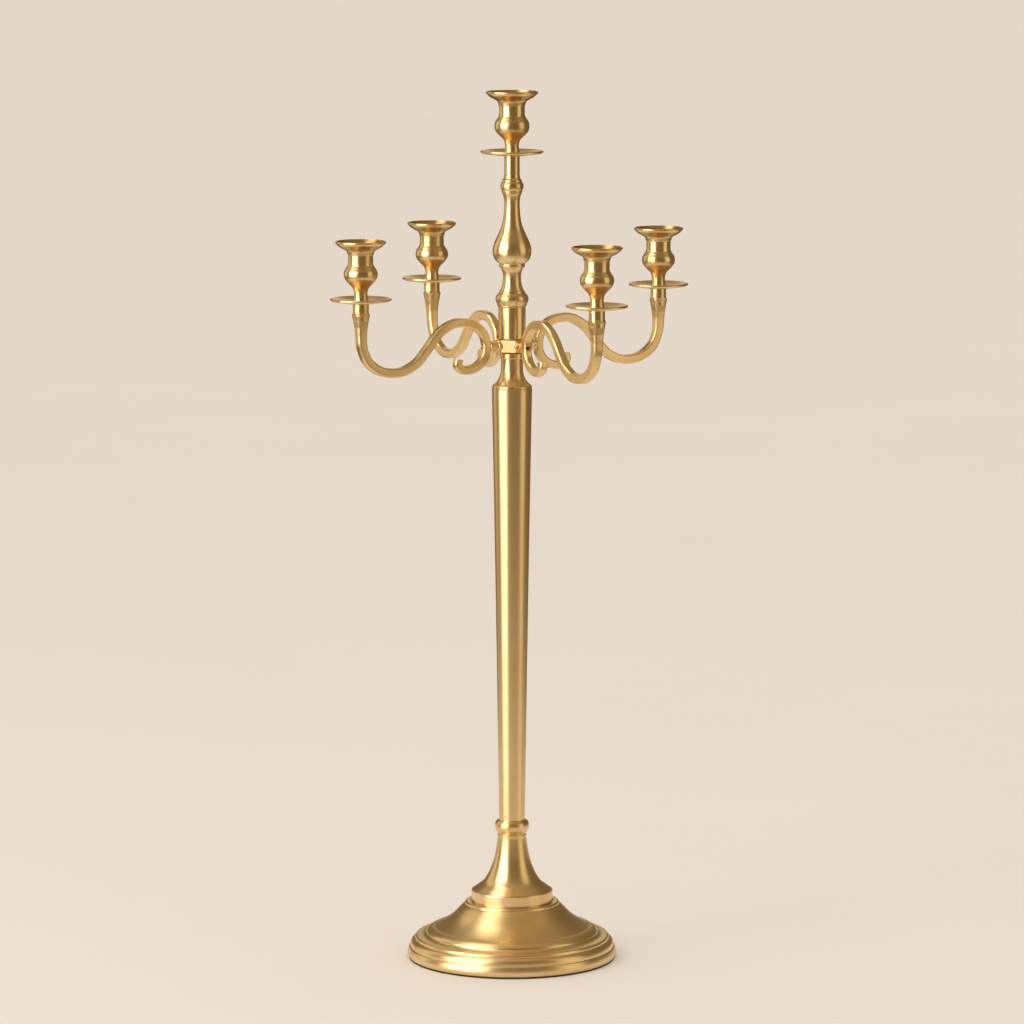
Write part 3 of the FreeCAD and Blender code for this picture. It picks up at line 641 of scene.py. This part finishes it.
turned_r = 10.55
turned_low = 30.0
turned_cone = 4.2
waste_r = 25.0
neck_r = 8.5
pan_low = (pan_box[0][2] - hub_mid) / MM
waste = spun("waste", [(turned_r, turned_low), (waste_r, turned_low), (waste_r, socket_top + 2.0),
                       (neck_r, socket_top + 2.0), (neck_r, socket_top),
                       (turned_r, socket_top - turned_cone)], hub_mid, edge=0)
set_on_arm(waste, 1, arm_reach)
neck = spun("neck", [(stud_bore, socket_top - 8.0), (neck_r - 0.5, socket_top - 8.0),
                     (neck_r - 0.5, socket_top - 1.0), (neck_r, socket_top - 0.5), (neck_r, pan_low - 0.3),
                     (neck_r - 0.3, pan_low), (stud_bore, pan_low)], hub_mid, edge=0)
set_on_arm(neck, 1, arm_reach)
bpy.ops.object.select_all(action="DESELECT")
bar_inside = loop_r + loop_bar / 2
head_h = 2.6
head_seat_r = 3.4
cutter_l = 8.0
bpy.ops.mesh.primitive_cylinder_add(vertices=64, radius=head_seat_r * MM, depth=cutter_l * MM,
                                    rotation=(0, math.pi / 2, 0),
                                    location=((bar_inside - head_h + cutter_l / 2) * MM, 0, hub_mid))
head_seat = bpy.context.object
bpy.ops.object.select_all(action="DESELECT")
bpy.ops.mesh.primitive_cylinder_add(vertices=48, radius=2.1 * MM, depth=20 * MM, rotation=(0, math.pi / 2, 0),
                                    location=(seat_r * MM, 0, hub_mid))
drill = bpy.context.object
bpy.ops.object.select_all(action="DESELECT")
bpy.ops.mesh.primitive_cube_add(size=seat_r * MM, location=(seat_r * MM / 2, 0, hub_mid))
flat_cut = bpy.context.object
bpy.context.view_layer.objects.active = forged
for title, what, tool in (("turn", "DIFFERENCE", waste), ("neck", "UNION", neck),
                          ("seat", "DIFFERENCE", flat_cut), ("drill", "DIFFERENCE", drill),
                          ("counterbore", "DIFFERENCE", head_seat)):
    cut = forged.modifiers.new(title, "BOOLEAN")
    cut.operation = what
    cut.object = tool
    bpy.ops.object.modifier_apply(modifier=title)
    bpy.data.objects.remove(tool)
smoothed(forged, 28)
arms = [forged] + [copy_of(forged, f"arm_bar_{i}") for i in (2, 3, 4)]
for place, arm in enumerate(arms, 1):
    bpy.ops.object.select_all(action="DESELECT")
    arm.select_set(True)
    bpy.context.view_layer.objects.active = arm
    arm.rotation_euler = (0, 0, math.pi / 2 * (place - 1))
    bpy.ops.object.transform_apply(location=True, rotation=True, scale=True)
    finish = brass(f"brass_arm_{place}", rough=0.27, seed=25.0 + place, grain="along", streaks=0.12)
    dress(arm, finish, "arm_ring", f"arm_{place}")

# ---------------------------------------------------------------- spacers and arm screws
# A turned spacer stands between each arm's loop and the hub, and a brass cap screw passes through both. The
# screw's head is sunk in the bar, inside the loop.
hub_seat_r = hub_box[1][0] / MM
spacer_l = seat_r - hub_seat_r
first_spacer = spun("spacer_1", [
    (2.1, 0), (6.0, 0), (6.2, 0.5), (6.2, 2.6), (5.5, 3.1), (5.5, spacer_l - 3.1), (6.2, spacer_l - 2.6),
    (6.2, spacer_l - 0.5), (5.7, spacer_l), (2.1, spacer_l),
], 0, edge=0.2, steps=64)
head_overhang = 1.25
socket_inset = 1.5
socket_h = 1.5
bpy.ops.object.select_all(action="DESELECT")
shank_l = bar_inside - hub_seat_r + 6.0
bpy.ops.mesh.primitive_cylinder_add(vertices=48, radius=2.0 * MM, depth=shank_l * MM,
                                    location=(0, 0, shank_l / 2 * MM))
first_screw = bpy.context.object
first_screw.name = "arm_screw_1"
bpy.ops.object.mode_set(mode="EDIT")
bpy.ops.mesh.select_all(action="SELECT")
bpy.ops.mesh.bisect(plane_co=(0, 0, (shank_l - head_h) * MM), plane_no=(0, 0, 1))
bpy.ops.mesh.select_all(action="DESELECT")
bpy.ops.object.mode_set(mode="OBJECT")
for face in first_screw.data.polygons:
    face.select = abs(face.normal.z) < 0.5 and face.center.z > (shank_l - head_h) * MM
bpy.ops.object.mode_set(mode="EDIT")
bpy.ops.mesh.select_mode(type="FACE")
bpy.ops.mesh.extrude_region_shrink_fatten(TRANSFORM_OT_shrink_fatten={"value": head_overhang * MM})
bpy.ops.object.mode_set(mode="OBJECT")
for face in first_screw.data.polygons:
    face.select = face.normal.z > 0.5 and face.center.z > (shank_l - 0.1) * MM and len(face.vertices) > 8
bpy.ops.object.mode_set(mode="EDIT")
bpy.ops.mesh.inset(thickness=socket_inset * MM)
bpy.ops.mesh.extrude_region_move(TRANSFORM_OT_translate={"value": (0, 0, -socket_h * MM)})
bpy.ops.mesh.select_all(action="SELECT")
bpy.ops.mesh.normals_make_consistent(inside=False)
bpy.ops.object.mode_set(mode="OBJECT")
smoothed(first_screw, 30)


def set_radially(piece, place, start):
    """Lays a piece made up the axis along an arm's direction, from a radius outwards."""
    angle = math.pi / 2 * (place - 1)
    bpy.ops.object.select_all(action="DESELECT")
    piece.select_set(True)
    bpy.context.view_layer.objects.active = piece
    piece.rotation_euler = (0, math.pi / 2, angle)
    piece.location = (start * MM * math.cos(angle), start * MM * math.sin(angle), hub_mid)
    bpy.ops.object.transform_apply(location=True, rotation=True, scale=True)


spacers = [first_spacer] + [copy_of(first_spacer, f"spacer_{i}") for i in (2, 3, 4)]
screws = [first_screw] + [copy_of(first_screw, f"arm_screw_{i}") for i in (2, 3, 4)]
small_brass = brass("brass_fittings", rough=0.27, seed=31.0)
for place, (spacer, screw) in enumerate(zip(spacers, screws), 1):
    set_radially(spacer, place, hub_seat_r)
    dress(spacer, small_brass, "arm_ring", f"arm_spacer_{place}")
    set_radially(screw, place, bar_inside - shank_l)
    dress(screw, small_brass, "arm_ring", "arm_screws")

# ---------------------------------------------------------------- fittings left as built
# The steel rod, nut and studs, the iron weight, the rubber pad and the fibre washers are plain shapes and
# mostly out of sight; each has the finish of its own metal or sheet.


def plain(name, colour, deep, metal, rough, scale, bump=0.2):
    """A fitting's finish: two tones of one material, broken up by a fine grain."""
    material = bpy.data.materials.new(name)
    material.use_nodes = True
    tree = material.node_tree
    shader = tree.nodes["Principled BSDF"]
    shader.inputs["Metallic"].default_value = metal
    coordinates = tree.nodes.new("ShaderNodeTexCoord")
    grain = noise(tree, coordinates.outputs["Object"], scale, 4.0, 0.6)
    tree.links.new(mixed(tree, spread(tree, grain, 0.3, 0.7), colour, deep), shader.inputs["Base Color"])
    tree.links.new(spread(tree, grain, 0.3, 0.7, rough - 0.06, rough + 0.08), shader.inputs["Roughness"])
    relief = tree.nodes.new("ShaderNodeBump")
    relief.inputs["Strength"].default_value = bump
    relief.inputs["Distance"].default_value = 0.1 * MM
    tree.links.new(grain, relief.inputs["Height"])
    tree.links.new(relief.outputs[0], shader.inputs["Normal"])
    return material


steel = plain("drawn_steel", (0.60, 0.60, 0.58), (0.44, 0.44, 0.43), 1.0, 0.34, 900.0)
iron = plain("black_iron", (0.045, 0.043, 0.040), (0.025, 0.024, 0.023), 0.0, 0.70, 500.0, 0.6)
rubber = plain("sheet_rubber", (0.018, 0.017, 0.016), (0.030, 0.029, 0.028), 0.0, 0.78, 1400.0, 0.4)
fibre = plain("red_brown_fibre", (0.055, 0.030, 0.018), (0.035, 0.020, 0.012), 0.0, 0.65, 1200.0, 0.3)
finishes = {"foot_pad": rubber, "base_weight": iron, "hub_washers": fibre,
            "column_foot_plug": small_brass, "column_head_plug": small_brass}
for name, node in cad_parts.items():
    finish = finishes.get(name, steel)
    node.data.materials.clear()
    node.data.materials.append(finish)

# ---------------------------------------------------------------- floor, light and camera
# A plain pale sweep of paper, a tall soft box at the left, a weaker strip at the right, and a soft lamp that
# lays the shadow. The studio behind the camera is dark, which gives the metal its brown lines.
paper = bpy.data.materials.new("paper_sweep")
paper.use_nodes = True
sheet = paper.node_tree
sheet_shader = sheet.nodes["Principled BSDF"]
sheet_shader.inputs["Roughness"].default_value = 0.9
sheet_shader.inputs["Specular IOR Level"].default_value = 0.1
where = sheet.nodes.new("ShaderNodeTexCoord")
mottle = noise(sheet, where.outputs["Object"], 1.4, 3.0, 0.6)
sheet.links.new(mixed(sheet, spread(sheet, mottle, 0.3, 0.7), (0.858, 0.766, 0.670), (0.868, 0.777, 0.681)),
                sheet_shader.inputs["Base Color"])
near_r = 1.3
far_r = 60.0
bpy.ops.object.select_all(action="DESELECT")
bpy.ops.mesh.primitive_circle_add(vertices=96, radius=near_r, fill_type="NGON")
near_floor = bpy.context.object
near_floor.name = "floor"
bpy.ops.object.select_all(action="DESELECT")
bpy.ops.mesh.primitive_circle_add(vertices=96, radius=near_r, fill_type="NOTHING")
far_floor = bpy.context.object
far_floor.name = "far_floor"
bpy.ops.object.mode_set(mode="EDIT")
bpy.ops.mesh.select_mode(type="EDGE")
bpy.ops.mesh.select_all(action="SELECT")
bpy.ops.mesh.extrude_region_move()
bpy.ops.transform.resize(value=(far_r / near_r, far_r / near_r, 1))
bpy.ops.mesh.select_all(action="SELECT")
bpy.ops.mesh.normals_make_consistent(inside=False)
bpy.ops.object.mode_set(mode="OBJECT")
for ground in (near_floor, far_floor):
    ground.data.materials.append(paper)
far_floor.visible_glossy = False

view_turn = math.radians(-29.0)
to_camera = Vector((math.sin(view_turn), -math.cos(view_turn), 0))
to_right = Vector((math.cos(view_turn), math.sin(view_turn), 0))


def soft_box(name, angle, distance, height, size, strength, colour, target_h=0.5, shows_in="glossy"):
    """A soft box at an angle from the camera's side, positive to the right; strength is its brightness."""
    turn = math.radians(angle)
    spot = (to_camera * math.cos(turn) + to_right * math.sin(turn)) * distance + Vector((0, 0, height))
    light = bpy.data.lights.new(name, "AREA")
    light.shape = "RECTANGLE"
    light.size = size[0]
    light.size_y = size[1]
    light.energy = strength * math.pi * size[0] * size[1]
    light.color = colour
    lamp = bpy.data.objects.new(name, light)
    lamp.location = spot
    lamp.rotation_euler = (Vector((0, 0, target_h)) - spot).to_track_quat("-Z", "Y").to_euler()
    lamp.visible_camera = False
    lamp.visible_glossy = shows_in == "glossy"
    lamp.visible_diffuse = shows_in == "diffuse"
    bpy.context.collection.objects.link(lamp)


soft_box("key", -55, 2.6, 1.25, (2.4, 2.8), 3.8, (1.0, 0.97, 0.90))
soft_box("high_key", -98, 1.15, 2.75, (1.05, 1.05), 3.6, (1.0, 0.97, 0.90))
soft_box("rim", -118, 2.6, 1.2, (1.5, 2.4), 0.65, (1.0, 0.92, 0.76))
soft_box("strip", 69, 2.6, 1.1, (1.6, 2.6), 0.76, (1.0, 0.88, 0.65))
soft_box("back_card", 180, 2.6, 1.25, (1.0, 1.5), 0.55, (1.0, 0.93, 0.80))
soft_box("shadow_lamp", -58, 2.4, 2.2, (1.0, 1.0), 3.4, (0.97, 0.99, 1.0), shows_in="diffuse")

world = bpy.data.worlds.new("studio")
world.use_nodes = True
bpy.context.scene.world = world
air = world.node_tree
background = air.nodes["Background"]
background.inputs["Strength"].default_value = 1.0
facing_up = air.nodes.new("ShaderNodeSeparateXYZ")
air.links.new(air.nodes.new("ShaderNodeTexCoord").outputs["Generated"], facing_up.inputs[0])
ceiling = mixed(air, spread(air, facing_up.outputs[2], 0.55, 1.0),
                (0.175, 0.120, 0.056), (0.46, 0.355, 0.205))
air.links.new(mixed(air, air.nodes.new("ShaderNodeLightPath").outputs["Is Glossy Ray"], (0.92, 0.90, 0.87),
                    ceiling), background.inputs["Color"])
bpy.context.scene.view_settings.view_transform = "Standard"

camera_back = 5.4
camera_height = 1.24
camera_dip = 7.91
camera_data = bpy.data.cameras.new("camera")
camera_data.sensor_width = 36.0
camera_data.lens = 177.5
camera_data.clip_end = 200.0
camera = bpy.data.objects.new("camera", camera_data)
camera.location = to_camera * camera_back + Vector((0, 0, camera_height))
camera.rotation_euler = (math.radians(90 - camera_dip), 0, view_turn)
bpy.context.collection.objects.link(camera)
bpy.context.scene.camera = camera
